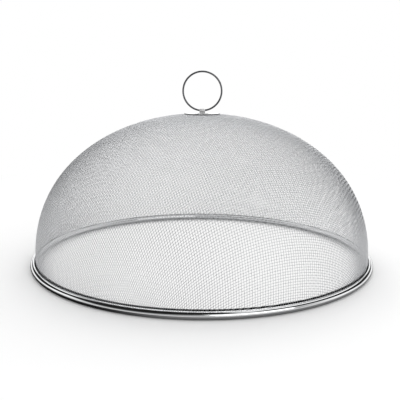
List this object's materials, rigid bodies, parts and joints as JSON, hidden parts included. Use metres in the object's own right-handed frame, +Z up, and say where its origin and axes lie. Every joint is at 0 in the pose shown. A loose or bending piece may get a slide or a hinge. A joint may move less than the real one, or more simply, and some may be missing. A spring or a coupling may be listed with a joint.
{
  "type": "mesh food cover",
  "caption": "Round domed food cover of woven stainless steel wire, with a rolled rim and a finger ring that tilts in a strap on top.",
  "frame": {"origin": "on the axis of the dome, in the plane that the rim stands on", "axes": "+Z up along the axis of the dome; X along the eye of the strap, so the ring stands upright in the XZ plane; the front of the picture is towards -Y"},
  "size_m": [0.35, 0.35, 0.1927],
  "materials": {
    "polished_sheet": "polished",
    "woven_wire": "satin",
    "drawn_wire": "gloss"
  },
  "bodies": {
    "cover": {"rim_band": "polished_sheet", "rim_core_hoop": "drawn_wire", "mesh_dome": "woven_wire", "rosette": "polished_sheet", "under_washer": "polished_sheet", "handle_strap": "polished_sheet"},
    "ring": {"ring_handle": "drawn_wire"}
  },
  "joints": [
    {"name": "ring_tilt", "type": "hinge", "parent": "cover", "child": "ring", "pos_m": [0, 0, 0.1533], "axis": [1, 0, 0], "range_deg": [-97, 97]}
  ]
}
